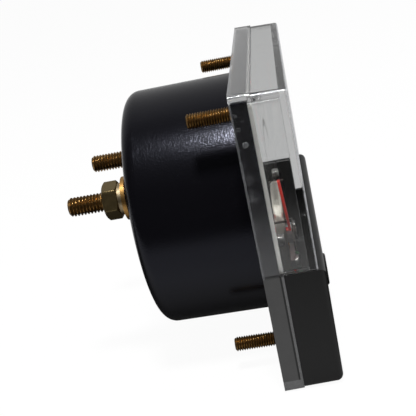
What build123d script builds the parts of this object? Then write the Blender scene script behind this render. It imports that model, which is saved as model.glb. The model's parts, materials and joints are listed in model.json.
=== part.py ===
from build123d import *
import os
from math import cos, pi, radians, sin, tan

# Analog panel meter: square clear front, round can behind the panel, moving-coil movement.
# Millimetres. The origin is the middle of the panel seat, on the axis of the round can.
# X is to the right seen from the front, the front looks along -Y, and Z is up.

# Front cover
face_width = 70.0
face_height = 60.0
cover_depth = 10.4
front_wall = 1.65
side_wall = 1.5
skirt_depth = 3.9
skirt_wall = 1.0
skirt_draft_angle = 2.0
skirt_step = 0.25
chamber_draft_angle = 1.8
cover_corner_radius = 0.9
cover_edge_radius = 0.6

# Black mask over the lower part of the cover
mask_rise = 6.3
mask_proud = 1.3
mask_wall = 1.0
mask_side_proud = 0.12
mask_edge_radius = 1.2
mask_clearance = 0.05

# Round can and its flange
can_inset = 4.0
can_depth = 24.3
can_draft_angle = 0.45
can_wall = 1.8
can_floor = 2.2
can_corner_radius = 2.8
flange_thickness = 3.1
flange_clearance = 0.15
flange_edge_radius = 0.6
flange_back_radius = 0.6

# Studs that hold the meter to its panel
stud_inset_x = 11.0
stud_inset_z = 6.0
stud_radius = 1.5
stud_root_radius = 1.9
stud_relief_radius = 1.3
stud_relief_length = 0.3
stud_length = 9.0
stud_head_radius = 2.7
stud_head_height = 1.2

# Terminals
terminal_inset_x = 12.0
terminal_inset_z = 18.0
terminal_radius = 2.0
terminal_nut_zone_radius = 1.8
thread_gap = 0.2
terminal_length = 13.6
terminal_head_flats = 7.0
terminal_head_height = 2.0
collar_radius = 4.2
collar_height = 0.9
flat_washer_radius = 4.5
flat_washer_thickness = 0.8
spring_washer_radius = 3.3
spring_washer_thickness = 1.0
nut_flats = 7.0
nut_height = 3.2
nut_turn = 12.0
lug_radius = 3.9
lug_thickness = 0.4
lug_tail = 7.5
fit_clearance = 0.05

# Dial
dial_thickness = 0.8
dial_margin = 0.3
dial_slot_width = 31.0
dial_cut_clearance = 0.6
dial_post_inset = 4.2
dial_screw_rise = 7.4
dial_screw_radius = 0.9
dial_screw_length = 7.0
dial_screw_head_radius = 1.3
dial_screw_head_height = 0.8
dial_post_radius = 2.75
print_thickness = 0.05
scale_radius = 24.6
scale_line = 0.3
scale_sweep = 90.0
scale_divisions = 50
long_stroke = 3.6
middle_stroke = 2.4
short_stroke = 1.6
stroke_width = 0.26
long_stroke_width = 0.45
stop_radius = 0.25
stop_length = 1.7
stop_reach = 15.0
stop_angle = 57.0

# Movement, round the pivot axis
movement_clearance = 0.7
ring_radius = 12.0
frame_bore = 8.6
front_frame_length = 4.3
front_frame_reach = 4.9
yoke_bore = 6.9
yoke_length = 10.2
rear_frame_length = 2.8
core_radius = 5.0
core_length = 8.0
clamp_width = 3.0
bridge_thickness = 1.0
bridge_boss_radius = 2.0
bridge_boss_depth = 1.4
bridge_bar_top = -1.5
bridge_bar_height = 2.7
bridge_half_length = 11.3
bridge_tongue_width = 5.0
movement_screw_offset = 9.6
movement_screw_radius = 1.0
movement_screw_length = 24.0
movement_head_radius = 1.7
movement_head_height = 1.0
movement_post_radius = 2.6

# Bearings
staff_radius = 0.5
staff_tip_length = 0.8
jewel_screw_radius = 1.1
jewel_head_radius = 1.6
jewel_head_height = 0.5
jewel_cup_radius = 0.6
jewel_cup_depth = 0.7
jewel_end_play = 0.05
screw_slot_width = 0.5

# Moving coil and pointer
coil_gap = 0.4
former_thickness = 0.2
former_width = 3.0
winding_thickness = 0.7
winding_width = 2.4
rest_angle = 45.0
pointer_length = 28.0
pointer_depth = 0.55
pointer_root_width = 0.9
pointer_tip_width = 0.45
pointer_post_reach = 2.8
pointer_front_gap = 0.4
pointer_sheet = 0.25
cross_arm_radius = 0.2
cross_arm_reach = 5.6
cross_tail_reach = 8.3
cross_hub_radius = 1.3
cross_plane_gap = 0.8
weight_radius = 0.45
weight_length = 1.4
tail_weight_radius = 0.95
tail_weight_length = 2.0
weight_end_gap = 0.3

# Hairsprings
spring_strip = 0.15
spring_height = 0.4
spring_pitch = 1.2
spring_half_turns = 8
collet_radius = 0.85
spring_seat_gap = 1.3

# Zero adjuster and its lever
adjuster_inset = 8.0
adjuster_radius = 2.0
adjuster_head_radius = 3.7
adjuster_head_proud = 0.6
adjuster_head_sunk = 0.7
adjuster_collar = 2.5
adjuster_collar_length = 0.5
adjuster_slot_width = 1.0
adjuster_slot_depth = 0.7
pin_offset = 1.2
pin_radius = 0.6
fork_clearance = 0.12
lever_thickness = 0.35
lever_ring_radius = 2.2
lever_arm_width = 1.6
lever_fork_width = 3.6
lever_side_reach = 7.5
lever_tail_width = 2.2
lever_gap = 0.1

# Wiring
lead_radius = 0.45
wire_radius = 0.3
resistor_radius = 1.5
resistor_length = 8.0
resistor_shift = 2.0
resistor_wire = 3.2
lead_bend = 1.2
wire_bend = 1.0
lead_side_gap = 1.5
lead_drop = 6.1
lug_joint_gap = 0.6

# Places worked out from the sizes above
can_radius = face_height / 2 - can_inset
bore_radius = can_radius - can_wall
pivot_height = ring_radius + movement_clearance - bore_radius
mask_top = pivot_height + mask_rise
dial_screw_height = pivot_height + dial_screw_rise
dial_screw_spacing = 2 * (bore_radius - dial_post_inset)
adjuster_height = adjuster_inset - face_height / 2
stud_spacing_x = face_width - 2 * stud_inset_x
stud_spacing_z = face_height - 2 * stud_inset_z
terminal_spacing = 2 * (can_radius - terminal_inset_x)
terminal_height = can_radius - terminal_inset_z
front_y = -cover_depth
chamber_front_y = front_y + front_wall
flange_front_y = -flange_thickness
dial_front_y = flange_front_y - dial_thickness
ledge_y = -skirt_depth
mask_front_y = front_y - mask_proud
floor_y = can_depth - can_floor
collar_y = can_depth + collar_height
terminal_tip_y = can_depth + terminal_length
frame_front_y = -front_frame_reach
yoke_front_y = frame_front_y + front_frame_length
yoke_back_y = yoke_front_y + yoke_length
rear_frame_y = yoke_back_y + rear_frame_length
rear_bar_y = rear_frame_y + bridge_thickness
bridge_front_y = frame_front_y - bridge_thickness
bridge_boss_y = bridge_front_y + bridge_boss_depth
lever_back_y = bridge_front_y - lever_gap
lever_front_y = lever_back_y - lever_thickness
pointer_back_y = frame_front_y - pointer_front_gap
pointer_front_y = pointer_back_y - pointer_depth
cross_y = bridge_boss_y + cross_plane_gap
core_front_y = (yoke_front_y + yoke_back_y - core_length) / 2
core_back_y = core_front_y + core_length
former_front_y = core_front_y - coil_gap - former_thickness
former_back_y = core_back_y + coil_gap + former_thickness
coil_front_y = former_front_y - winding_thickness
coil_back_y = former_back_y + winding_thickness
front_spring_y = cross_y + cross_hub_radius / 2
rear_spring_y = coil_back_y + spring_seat_gap
pin_height = adjuster_height - pin_offset
screw_height = pivot_height + bridge_bar_top - bridge_bar_height / 2
skirt_half_x = face_width / 2
skirt_half_z = face_height / 2
ledge_half_x = skirt_half_x - skirt_depth * tan(radians(skirt_draft_angle)) - skirt_step
ledge_half_z = skirt_half_z - skirt_depth * tan(radians(skirt_draft_angle)) - skirt_step
flange_half_x = skirt_half_x - skirt_wall - flange_clearance
flange_half_z = skirt_half_z - skirt_wall - flange_clearance
chamber_half_x = ledge_half_x - side_wall
chamber_half_z = ledge_half_z - side_wall
lug_y = floor_y - lug_thickness
lug_joint_z = terminal_height - lug_tail + 2 * lug_joint_gap
resistor_y = (rear_bar_y + floor_y) / 2


def block(x0, x1, y0, y1, z0, z1):
    """A box between two corners."""
    return Pos((x0 + x1) / 2, (y0 + y1) / 2, (z0 + z1) / 2) * Box(x1 - x0, y1 - y0, z1 - z0)


def rod(radius, y0, y1, x=0.0, z=0.0):
    """A cylinder whose axis runs front to back."""
    return Pos(x, (y0 + y1) / 2, z) * Rot(90, 0, 0) * Cylinder(radius, y1 - y0)


def cone_rod(front_radius, back_radius, y0, y1, x=0.0, z=0.0):
    """A round piece that tapers from front to back."""
    return Pos(x, (y0 + y1) / 2, z) * Rot(90, 0, 0) * Cone(back_radius, front_radius, y1 - y0)


def ring(outer, inner, y0, y1, x=0.0, z=0.0):
    """A round ring whose axis runs front to back."""
    return rod(outer, y0, y1, x, z) - rod(inner, y0 - 1, y1 + 1, x, z)


def hexagon(flats, y0, y1, x=0.0, z=0.0, turn=0.0):
    """A hexagonal prism whose axis runs front to back."""
    plane = Plane(origin=(x, y1, z), x_dir=(1, 0, 0), z_dir=(0, -1, 0))
    outline = plane * Rot(0, 0, turn) * RegularPolygon(flats / 2, 6, major_radius=False)
    return extrude(outline, y1 - y0)


def plate(half_x, half_z, corner, y0, y1, draft=0.0):
    """A rounded rectangle from its back face at y1 to y0, narrower towards the front."""
    plane = Plane(origin=(0, y1, 0), x_dir=(1, 0, 0), z_dir=(0, -1, 0))
    outline = plane * RectangleRounded(2 * half_x, 2 * half_z, corner)
    return extrude(outline, y1 - y0, taper=draft)


def edges_at_y(piece, y):
    """The edges of a piece that lie in the plane at one depth."""
    return [edge for edge in piece.edges() if abs(edge.bounding_box().min.Y - y) < 0.01
            and abs(edge.bounding_box().max.Y - y) < 0.01]


def turned(piece, angle):
    """A piece turned about the pivot axis, counter-clockwise seen from the front."""
    return piece.rotate(Axis((0, 0, pivot_height), (0, -1, 0)), angle)


def corner_places():
    """The four places of the panel studs."""
    sides = (-1, 1)
    return [(sx * stud_spacing_x / 2, sz * stud_spacing_z / 2) for sx in sides for sz in sides]


def cover_outside(y0, y1, inset):
    """The outside of the cover's chamber between two depths, taken in by an inset."""
    shrink = (ledge_y - y1) * tan(radians(chamber_draft_angle))
    half_x = ledge_half_x - shrink - inset
    half_z = ledge_half_z - shrink - inset
    return plate(half_x, half_z, cover_corner_radius, y0, y1, chamber_draft_angle)


def below_mask_line(y0, y1):
    """Everything under the top line of the mask."""
    return block(-face_width, face_width, y0, y1, -face_height, mask_top)


def make_clear_cover():
    """Clear box with a deeper skirt round the flange and a lower half that is let in for the mask."""
    skirt = plate(skirt_half_x, skirt_half_z, cover_corner_radius, ledge_y, 0, skirt_draft_angle)
    chamber = cover_outside(front_y, ledge_y, 0)
    chamber = fillet(edges_at_y(chamber, front_y), cover_edge_radius)
    let_in = chamber & below_mask_line(front_y - 1, ledge_y)
    let_in = let_in - cover_outside(front_y - 1, ledge_y, mask_wall)
    body = skirt + chamber - let_in
    body -= plate(flange_half_x + flange_clearance, flange_half_z + flange_clearance, 1.0,
                  flange_front_y - flange_clearance, 1)
    upper = plate(chamber_half_x, chamber_half_z, 1.0, chamber_front_y, 1, chamber_draft_angle)
    upper &= block(-face_width, face_width, chamber_front_y - 1, 1, mask_top, face_height)
    lower = plate(chamber_half_x - mask_wall, chamber_half_z - mask_wall, 1.0, chamber_front_y, 1,
                  chamber_draft_angle)
    lower &= below_mask_line(chamber_front_y - 1, 1)
    body -= upper
    body -= lower
    body -= rod(adjuster_radius + fit_clearance, front_y - 1, chamber_front_y + 1, z=adjuster_height)
    return body


def make_lower_mask():
    """Black shell over the front, the sides and the bottom of the cover's lower part."""
    outer = cover_outside(mask_front_y, ledge_y - mask_clearance, -mask_side_proud)
    outer = outer & below_mask_line(mask_front_y - 1, ledge_y)
    outer = fillet(edges_at_y(outer, mask_front_y), mask_edge_radius)
    hollow = cover_outside(front_y - mask_clearance, ledge_y + 1, mask_wall - mask_clearance)
    hollow &= block(-face_width, face_width, front_y - 1, 0, -face_height, mask_top + 1)
    body = outer - hollow
    body -= rod(adjuster_radius + fit_clearance, mask_front_y - 1, front_y, z=adjuster_height)
    body -= rod(adjuster_head_radius + fit_clearance, mask_front_y - 1,
                mask_front_y + adjuster_head_sunk + fit_clearance, z=adjuster_height)
    return body


def make_zero_adjuster():
    """Slotted screw in the front with an off-centre pin at its inner end."""
    head_front = mask_front_y - adjuster_head_proud
    head = rod(adjuster_head_radius, head_front, mask_front_y + adjuster_head_sunk, z=adjuster_height)
    head = fillet(edges_at_y(head, head_front), adjuster_head_proud - 0.05)
    head -= block(-adjuster_head_radius, adjuster_head_radius, head_front - 1,
                  head_front + adjuster_slot_depth, adjuster_height - adjuster_slot_width / 2,
                  adjuster_height + adjuster_slot_width / 2)
    collar_front = chamber_front_y + lever_gap
    collar_back = collar_front + adjuster_collar_length
    shaft = rod(adjuster_radius, mask_front_y, collar_front, z=adjuster_height)
    collar = rod(adjuster_collar, collar_front, collar_back, z=adjuster_height)
    pin = rod(pin_radius, collar_back - 0.1, lever_back_y + 0.25, z=pin_height)
    return head + shaft + collar + pin


def make_base_case():
    """Round can, square flange, posts for the movement and the dial, collars for the terminals."""
    plane = Plane(origin=(0, 0, 0), x_dir=(1, 0, 0), z_dir=(0, 1, 0))
    can = extrude(plane * Circle(can_radius), can_depth, taper=can_draft_angle)
    can = fillet(edges_at_y(can, can_depth), can_corner_radius)
    flange = plate(flange_half_x, flange_half_z, 1.5, flange_front_y, 0, skirt_draft_angle)
    flange = fillet(edges_at_y(flange, flange_front_y), flange_edge_radius)
    flange = fillet(edges_at_y(flange, 0), flange_back_radius)
    bore = rod(bore_radius, flange_front_y - 1, floor_y)
    body = can + flange - bore
    for side in (-1, 1):
        terminal_x = side * terminal_spacing / 2
        body += rod(dial_post_radius, flange_front_y, floor_y, side * dial_screw_spacing / 2,
                    dial_screw_height)
        body += rod(movement_post_radius, rear_bar_y, floor_y, side * movement_screw_offset,
                    screw_height)
        body += rod(collar_radius, can_depth, collar_y, terminal_x, terminal_height)
        body -= rod(terminal_radius + fit_clearance, floor_y - 1, collar_y + 1, terminal_x,
                    terminal_height)
        body -= rod(dial_screw_radius + fit_clearance, flange_front_y - 1,
                    flange_front_y + dial_screw_length, side * dial_screw_spacing / 2,
                    dial_screw_height)
        body -= rod(movement_screw_radius + fit_clearance, rear_bar_y - 1,
                    bridge_front_y + movement_screw_length + 0.5, side * movement_screw_offset,
                    screw_height)
    for x, z in corner_places():
        body -= rod(stud_root_radius + fit_clearance, flange_front_y - 1, 1, x, z)
        body -= rod(stud_head_radius + fit_clearance, flange_front_y - 1,
                    flange_front_y + stud_head_height, x, z)
    return body


def make_panel_studs():
    """Four brass studs: a head and a thick root in the flange, a relief, then the thread."""
    studs = []
    for x, z in corner_places():
        thread = rod(stud_radius, stud_relief_length, stud_length, x, z)
        thread = chamfer(edges_at_y(thread, stud_length), 0.3)
        root = rod(stud_root_radius, flange_front_y + stud_head_height / 2, -fit_clearance, x, z)
        relief = rod(stud_relief_radius, -1, stud_relief_length + 0.1, x, z)
        head = rod(stud_head_radius, flange_front_y, flange_front_y + stud_head_height, x, z)
        studs.append(head + root + relief + thread)
    return Compound(children=studs)


def nut_front(side):
    """Where the front face of a terminal's nut lies: on the washer or on the spring washer."""
    front = collar_y + flat_washer_thickness
    if side < 0:
        front += spring_washer_thickness
    return front


def make_terminal_stud(side):
    """Terminal with a hexagonal head inside the can. The free thread has its outer diameter, and
    under the nut it has its pitch diameter, because the nut's own thread takes up the rest."""
    x = side * terminal_spacing / 2
    head_back = floor_y - lug_thickness
    front = nut_front(side)
    thread_start = front + nut_height + thread_gap
    shank = rod(terminal_radius, head_back - 0.5, front, x, terminal_height)
    neck = rod(terminal_nut_zone_radius, front - 0.1, thread_start + 0.1, x, terminal_height)
    thread = rod(terminal_radius, thread_start, terminal_tip_y, x, terminal_height)
    thread = chamfer(edges_at_y(thread, terminal_tip_y), 0.4)
    head = hexagon(terminal_head_flats, head_back - terminal_head_height, head_back, x,
                   terminal_height, 30)
    return head + shank + neck + thread


def make_solder_lug(side):
    """Ring tag under the terminal's head, with a tail for the lead."""
    x = side * terminal_spacing / 2
    front = floor_y - lug_thickness
    tag = rod(lug_radius, front, floor_y, x, terminal_height)
    tag += block(x - 1.4, x + 1.4, front, floor_y, terminal_height - lug_tail, terminal_height)
    return tag - rod(terminal_radius + fit_clearance, front - 1, floor_y + 1, x, terminal_height)


def make_flat_washers():
    """Brass washer on each terminal collar."""
    back = collar_y + flat_washer_thickness
    return Compound(children=[
        ring(flat_washer_radius, terminal_radius + fit_clearance, collar_y, back,
             side * terminal_spacing / 2, terminal_height) for side in (-1, 1)])


def make_spring_washer():
    """Split washer under the nut of the left terminal."""
    front = collar_y + flat_washer_thickness
    back = front + spring_washer_thickness
    x = -terminal_spacing / 2
    body = ring(spring_washer_radius, terminal_radius + fit_clearance, front, back, x,
                terminal_height)
    return body - block(x - 0.3, x + 0.3, front - 1, back + 1, terminal_height - 5, terminal_height)


def make_terminal_nut(side):
    """Hexagonal nut with both ends chamfered round."""
    front = nut_front(side)
    back = front + nut_height
    x = side * terminal_spacing / 2
    body = hexagon(nut_flats, front, back, x, terminal_height, nut_turn)
    corner = nut_flats / 2 / cos(pi / 6)
    rounding = rod(corner, front, back, x, terminal_height)
    rounding = chamfer(edges_at_y(rounding, back), 0.35)
    rounding = chamfer(edges_at_y(rounding, front), 0.35)
    body &= rounding
    bore = terminal_nut_zone_radius + fit_clearance
    return body - rod(bore, front - 1, back + 1, x, terminal_height)


def make_dial_plate():
    """Flat white plate with a round cut for the movement that opens to its lower edge."""
    half_x = chamber_half_x - dial_margin
    half_z = chamber_half_z - dial_margin
    body = plate(half_x, half_z, 1.0, dial_front_y, flange_front_y)
    lower = block(-face_width, face_width, dial_front_y - 1, 0, -face_height, mask_top)
    side_strip = mask_wall + dial_margin
    lower -= block(-half_x + side_strip, half_x - side_strip, dial_front_y - 2, 1,
                   -half_z + side_strip, mask_top + 1)
    body -= lower
    body -= rod(ring_radius + dial_cut_clearance, dial_front_y - 1, 0, z=pivot_height)
    body -= block(-dial_slot_width / 2, dial_slot_width / 2, dial_front_y - 1, 0, -face_height,
                  pivot_height - 1)
    for side in (-1, 1):
        body -= rod(dial_screw_radius + fit_clearance, dial_front_y - 1, 0,
                    side * dial_screw_spacing / 2, dial_screw_height)
        x, z = stop_place(side)
        body -= rod(stop_radius + fit_clearance, dial_front_y - 1, 0, x, z)
    return body


def make_dial_scale():
    """Printed scale: an arc with long, middle and short strokes, as one thin layer on the dial."""
    front = dial_front_y - print_thickness
    reach = 2 * scale_radius
    band = ring(scale_radius + scale_line, scale_radius, front, dial_front_y, z=pivot_height)
    for side in (-1, 1):
        beyond = block(-reach, 0, front - 1, 0, pivot_height - reach, pivot_height + reach)
        if side > 0:
            beyond = block(0, reach, front - 1, 0, pivot_height - reach, pivot_height + reach)
        band -= turned(beyond, -side * scale_sweep / 2)
    strokes = []
    for index in range(scale_divisions + 1):
        length = short_stroke
        width = stroke_width
        if index % 5 == 0:
            length = middle_stroke
        if index % 10 == 0:
            length = long_stroke
            width = long_stroke_width
        stroke = block(-width / 2, width / 2, front, dial_front_y, pivot_height + scale_radius,
                       pivot_height + scale_radius + length)
        strokes.append(turned(stroke, scale_sweep * (0.5 - index / scale_divisions)))
    return band + strokes


def stop_place(side):
    """Where a pointer stop stands on the dial."""
    x = side * stop_reach * sin(radians(stop_angle))
    return x, pivot_height + stop_reach * cos(radians(stop_angle))


def make_dial_screws():
    """Two slotted screws that hold the dial to its posts."""
    screws = []
    for side in (-1, 1):
        x = side * dial_screw_spacing / 2
        head_front = dial_front_y - dial_screw_head_height
        head = rod(dial_screw_head_radius, head_front, dial_front_y, x, dial_screw_height)
        head = fillet(edges_at_y(head, head_front), 0.4)
        shank = rod(dial_screw_radius, dial_front_y - 0.1, flange_front_y + dial_screw_length - 0.3,
                    x, dial_screw_height)
        slot = block(x - 3, x + 3, head_front - 1, head_front + 0.4,
                     dial_screw_height - screw_slot_width / 2, dial_screw_height + screw_slot_width / 2)
        screws.append(head + shank - slot)
    return Compound(children=screws)


def make_pointer_stops():
    """Two short pins on the dial that end the pointer's travel."""
    pins = []
    for side in (-1, 1):
        x, z = stop_place(side)
        pins.append(rod(stop_radius, dial_front_y - stop_length, flange_front_y - 0.1, x, z))
    return Compound(children=pins)


def screw_holes(y0, y1):
    """Clearance holes for the two long screws of the movement."""
    hole = movement_screw_radius + fit_clearance
    left = rod(hole, y0, y1, -movement_screw_offset, screw_height)
    return left + rod(hole, y0, y1, movement_screw_offset, screw_height)


def make_front_frame():
    """Plated ring in front of the yoke, round the hub of the pointer."""
    body = ring(ring_radius, frame_bore, frame_front_y, yoke_front_y, z=pivot_height)
    body = chamfer([edge for edge in edges_at_y(body, frame_front_y)
                    if edge.bounding_box().size.X > 2 * frame_bore + 1], 0.4)
    return body - screw_holes(frame_front_y - 1, yoke_front_y + 1)


def make_yoke_ring():
    """Soft iron ring that closes the magnet's field round the coil."""
    body = ring(ring_radius, yoke_bore, yoke_front_y, yoke_back_y, z=pivot_height)
    return body - screw_holes(yoke_front_y - 1, yoke_back_y + 1)


def make_core_magnet():
    """Round magnet inside the coil."""
    body = rod(core_radius, core_front_y, core_back_y, z=pivot_height)
    ends = edges_at_y(body, core_front_y) + edges_at_y(body, core_back_y)
    return chamfer(ends, 0.3)


def make_core_clamps():
    """Two brass blocks that hold the magnet in the middle of the yoke."""
    space = ring(yoke_bore - 0.02, core_radius + 0.02, core_front_y + 0.5, core_back_y - 0.5,
                 z=pivot_height)
    clamps = []
    for side in (-1, 1):
        z = pivot_height + side * (core_radius + yoke_bore) / 2
        reach = (yoke_bore - core_radius) / 2 + 1
        wall = block(-clamp_width / 2, clamp_width / 2, core_front_y, core_back_y, z - reach, z + reach)
        clamps.append(space & wall)
    return Compound(children=[clamp.solids()[0] for clamp in clamps])


def bridge_shape(y0, y1, boss_y0, boss_y1):
    """Bar below the pivot with a tongue up to a round boss on the pivot axis."""
    bar_top = pivot_height + bridge_bar_top
    bar_bottom = bar_top - bridge_bar_height
    body = block(-bridge_half_length, bridge_half_length, y0, y1, bar_bottom, bar_top)
    body += block(-bridge_tongue_width / 2, bridge_tongue_width / 2, y0, y1, bar_bottom,
                  pivot_height - 0.4)
    body += rod(bridge_boss_radius, boss_y0, boss_y1, z=pivot_height)
    return body


def make_front_bridge():
    """Front bridge that carries the front jewel screw."""
    body = bridge_shape(bridge_front_y, frame_front_y, bridge_front_y, bridge_boss_y)
    body -= rod(jewel_screw_radius + fit_clearance, bridge_front_y - 1, bridge_boss_y + 1,
                z=pivot_height)
    return body - screw_holes(bridge_front_y - 1, frame_front_y + 1)


def make_rear_frame():
    """Ring behind the yoke with the bridge that carries the rear jewel screw."""
    body = ring(ring_radius, frame_bore, yoke_back_y, rear_frame_y, z=pivot_height)
    body += bridge_shape(rear_frame_y, rear_bar_y, rear_frame_y, rear_bar_y)
    body -= rod(jewel_screw_radius + fit_clearance, rear_frame_y - 1, rear_bar_y + 1, z=pivot_height)
    return body - screw_holes(yoke_back_y - 1, rear_bar_y + 1)


def make_movement_screws():
    """Two long screws through the bridges and rings into the posts of the can."""
    screws = []
    for side in (-1, 1):
        x = side * movement_screw_offset
        head_front = bridge_front_y - movement_head_height
        head = rod(movement_head_radius, head_front, bridge_front_y, x, screw_height)
        head = fillet(edges_at_y(head, head_front), 0.35)
        shank = rod(movement_screw_radius, bridge_front_y - 0.1,
                    bridge_front_y + movement_screw_length, x, screw_height)
        slot = block(x - 3, x + 3, head_front - 1, head_front + 0.4,
                     screw_height - screw_slot_width / 2, screw_height + screw_slot_width / 2)
        screws.append(head + shank - slot)
    return Compound(children=screws)


def jewel_cup(mouth_y, inward):
    """Space for the tip of a staff, from the mouth of the cup into the screw."""
    bottom_y = mouth_y + inward * jewel_cup_depth
    y0 = min(mouth_y - inward * 0.5, bottom_y)
    y1 = max(mouth_y - inward * 0.5, bottom_y)
    return rod(jewel_cup_radius, y0, y1, z=pivot_height)


def make_front_jewel_screw():
    """Front jewel screw, with its slotted head over the ring of the zero lever."""
    mouth = bridge_boss_y + 0.1
    head_back = lever_front_y - fit_clearance
    head_front = head_back - jewel_head_height
    body = rod(jewel_screw_radius, head_back - 0.1, mouth, z=pivot_height)
    body += rod(jewel_head_radius, head_front, head_back, z=pivot_height)
    body -= block(-3, 3, head_front - 1, head_front + 0.25, pivot_height - screw_slot_width / 2,
                  pivot_height + screw_slot_width / 2)
    return body - jewel_cup(mouth, -1)


def make_rear_jewel_screw():
    """Rear jewel screw, with its slotted head behind the rear bridge."""
    mouth = rear_frame_y - 0.1
    head_front = rear_bar_y + fit_clearance
    head_back = head_front + jewel_head_height
    body = rod(jewel_screw_radius, mouth, head_front + 0.1, z=pivot_height)
    body += rod(jewel_head_radius, head_front, head_back, z=pivot_height)
    body -= block(-3, 3, head_back - 0.25, head_back + 1, pivot_height - screw_slot_width / 2,
                  pivot_height + screw_slot_width / 2)
    return body - jewel_cup(mouth, 1)


def make_front_staff():
    """Front staff of the coil: foot on the winding, collet for the hairspring, pivot tip."""
    tip = bridge_boss_y + 0.1 - jewel_cup_depth + jewel_end_play
    body = cone_rod(0.08, staff_radius, tip, tip + staff_tip_length, z=pivot_height)
    body += rod(staff_radius, tip + staff_tip_length, coil_front_y, z=pivot_height)
    body += rod(collet_radius, front_spring_y - 0.1, front_spring_y + spring_height + 0.1,
                z=pivot_height)
    foot = block(-1.2, 1.2, coil_front_y - 0.3, coil_front_y, pivot_height - 0.9, pivot_height + 0.9)
    return body + turned(foot, rest_angle)


def make_rear_staff():
    """Rear staff of the coil: foot on the winding, collet for the hairspring, pivot tip."""
    tip = rear_frame_y - 0.1 + jewel_cup_depth - jewel_end_play
    body = cone_rod(staff_radius, 0.08, tip - staff_tip_length, tip, z=pivot_height)
    body += rod(staff_radius, coil_back_y, tip - staff_tip_length, z=pivot_height)
    body += rod(collet_radius, rear_spring_y - 0.1, rear_spring_y + spring_height + 0.1,
                z=pivot_height)
    foot = block(-1.2, 1.2, coil_back_y, coil_back_y + 0.3, pivot_height - 0.9, pivot_height + 0.9)
    return body + turned(foot, rest_angle)


def coil_loop(inner_x, inner_y0, inner_y1, thickness, width):
    """A rectangular loop round the core, at rest square to the pointer."""
    outer = block(-inner_x - thickness, inner_x + thickness, inner_y0 - thickness,
                  inner_y1 + thickness, pivot_height - width / 2, pivot_height + width / 2)
    inner = block(-inner_x, inner_x, inner_y0, inner_y1, pivot_height - width, pivot_height + width)
    return turned(outer - inner, rest_angle)


def make_coil_former():
    """Thin aluminium loop that the coil is wound on."""
    return coil_loop(core_radius + coil_gap, core_front_y - coil_gap, core_back_y + coil_gap,
                     former_thickness, former_width)


def make_coil_winding():
    """The winding as one block of wire on the former."""
    return coil_loop(core_radius + coil_gap + former_thickness, former_front_y, former_back_y,
                     winding_thickness, winding_width)


def make_pointer():
    """Pointer with a root on the cross, a post forward and a long blade in front of the dial."""
    root_back = cross_y - cross_arm_radius
    post_in = pointer_post_reach - pointer_sheet
    root = block(-0.9, 0.9, root_back - pointer_sheet, root_back, pivot_height - 0.9,
                 pivot_height + pointer_post_reach)
    post = block(-0.4, 0.4, pointer_front_y, root_back, pivot_height + post_in,
                 pivot_height + pointer_post_reach)
    plane = Plane(origin=(0, pointer_back_y, pivot_height), x_dir=(1, 0, 0), z_dir=(0, -1, 0))
    half_root = pointer_root_width / 2
    half_tip = pointer_tip_width / 2
    outline = make_face(Polyline((-half_root, post_in), (half_root, post_in),
                                 (half_tip, pointer_length), (-half_tip, pointer_length), close=True))
    blade = extrude(plane * outline, pointer_depth)
    body = root + post + blade
    body -= rod(staff_radius + 0.01, root_back - 1, root_back + 1, z=pivot_height)
    return turned(body, rest_angle)


def arm_rod(radius, start, end, angle):
    """A round arm that points up from the pivot axis, turned by an angle."""
    arm = Pos(0, cross_y, pivot_height + (start + end) / 2) * Cylinder(radius, end - start)
    return turned(arm, rest_angle + angle)


def make_balance_cross():
    """Hub with two side arms and a tail that carry the balance weights."""
    body = rod(cross_hub_radius, cross_y - cross_arm_radius, cross_y + cross_arm_radius,
               z=pivot_height)
    for angle, reach in ((90, cross_arm_reach), (-90, cross_arm_reach), (180, cross_tail_reach)):
        body += arm_rod(cross_arm_radius, 0, reach, angle)
    return body - rod(staff_radius + 0.01, cross_y - 1, cross_y + 1, z=pivot_height)


def sleeve_on_arm(radius, length, reach, angle):
    """A round sleeve near the end of one arm of the cross."""
    start = reach - length - weight_end_gap
    sleeve = arm_rod(radius, start, start + length, angle)
    return sleeve - arm_rod(cross_arm_radius + 0.01, start - 1, reach + 1, angle)


def make_balance_weights():
    """Small sleeves on the arms that balance the pointer."""
    weights = [sleeve_on_arm(weight_radius, weight_length, cross_arm_reach, 90),
               sleeve_on_arm(weight_radius, weight_length, cross_arm_reach, -90),
               sleeve_on_arm(tail_weight_radius, tail_weight_length, cross_tail_reach, 180)]
    return Compound(children=[weight.solids()[0] for weight in weights])


def spiral(y0):
    """A flat spiral strip of half turns, from the collet out to a straight end."""
    plane = Plane(origin=(0, y0 + spring_height, pivot_height), x_dir=(1, 0, 0), z_dir=(0, -1, 0))
    step = spring_pitch / 2
    inner = collet_radius + fit_clearance + spring_strip / 2
    body = None
    for turn in range(spring_half_turns):
        radius = inner + turn * step
        shift = 0 if turn % 2 == 0 else step
        start = 0 if turn % 2 == 0 else 180
        half = Circle(radius + spring_strip / 2) - Circle(radius - spring_strip / 2)
        window = Rectangle(4 * radius, 2 * radius, align=(Align.CENTER, Align.MIN))
        half = Pos(shift, 0) * (half & Rot(0, 0, start) * window)
        piece = extrude(plane * half, spring_height)
        body = piece if body is None else body + piece
    return body


def spring_end_radius():
    """How far the last half turn of a hairspring ends from the pivot axis."""
    return collet_radius + fit_clearance + spring_strip / 2 + spring_half_turns * spring_pitch / 2


def make_front_hairspring():
    """Front hairspring, its outer end at the tab of the zero lever."""
    end = spring_end_radius()
    tail = block(end - spring_strip / 2, lever_side_reach - 0.6, front_spring_y,
                 front_spring_y + spring_height, pivot_height, pivot_height + spring_strip)
    return spiral(front_spring_y) + tail


def make_rear_hairspring():
    """Rear hairspring, its outer end at the wall of the rear frame."""
    end = spring_end_radius()
    tail = block(end - spring_strip / 2, frame_bore - 0.02, rear_spring_y,
                 rear_spring_y + spring_height, pivot_height, pivot_height + spring_strip)
    return spiral(rear_spring_y) + tail


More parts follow.
